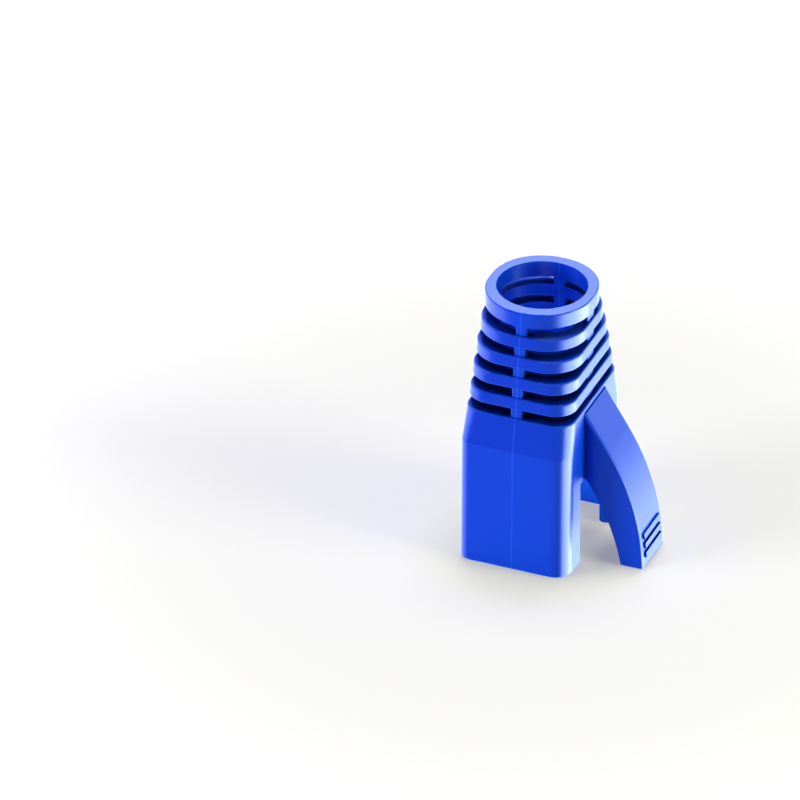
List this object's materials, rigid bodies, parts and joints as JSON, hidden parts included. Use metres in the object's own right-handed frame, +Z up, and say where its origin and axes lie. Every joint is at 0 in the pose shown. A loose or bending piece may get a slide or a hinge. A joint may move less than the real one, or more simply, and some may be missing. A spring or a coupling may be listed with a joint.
{
  "type": "rj45 strain relief boot",
  "caption": "Moulded strain relief boot for a modular plug: a tapered rectangular sleeve with a sprung latch lever, a slotted flexible neck and a round cable collar.",
  "frame": {"origin": "centre of the plug mouth, in the plane of its rim", "axes": "+Z up the cable from the mouth to the collar, +X out of the face that carries the latch lever, +Y along the mouth's longer side"},
  "size_m": [0.0167, 0.0142, 0.0262],
  "materials": {
    "boot_plastic": "satin soft moulded plastic with a fine grain"
  },
  "bodies": {
    "root": {"strain_relief_boot": "boot_plastic"}
  },
  "joints": []
}
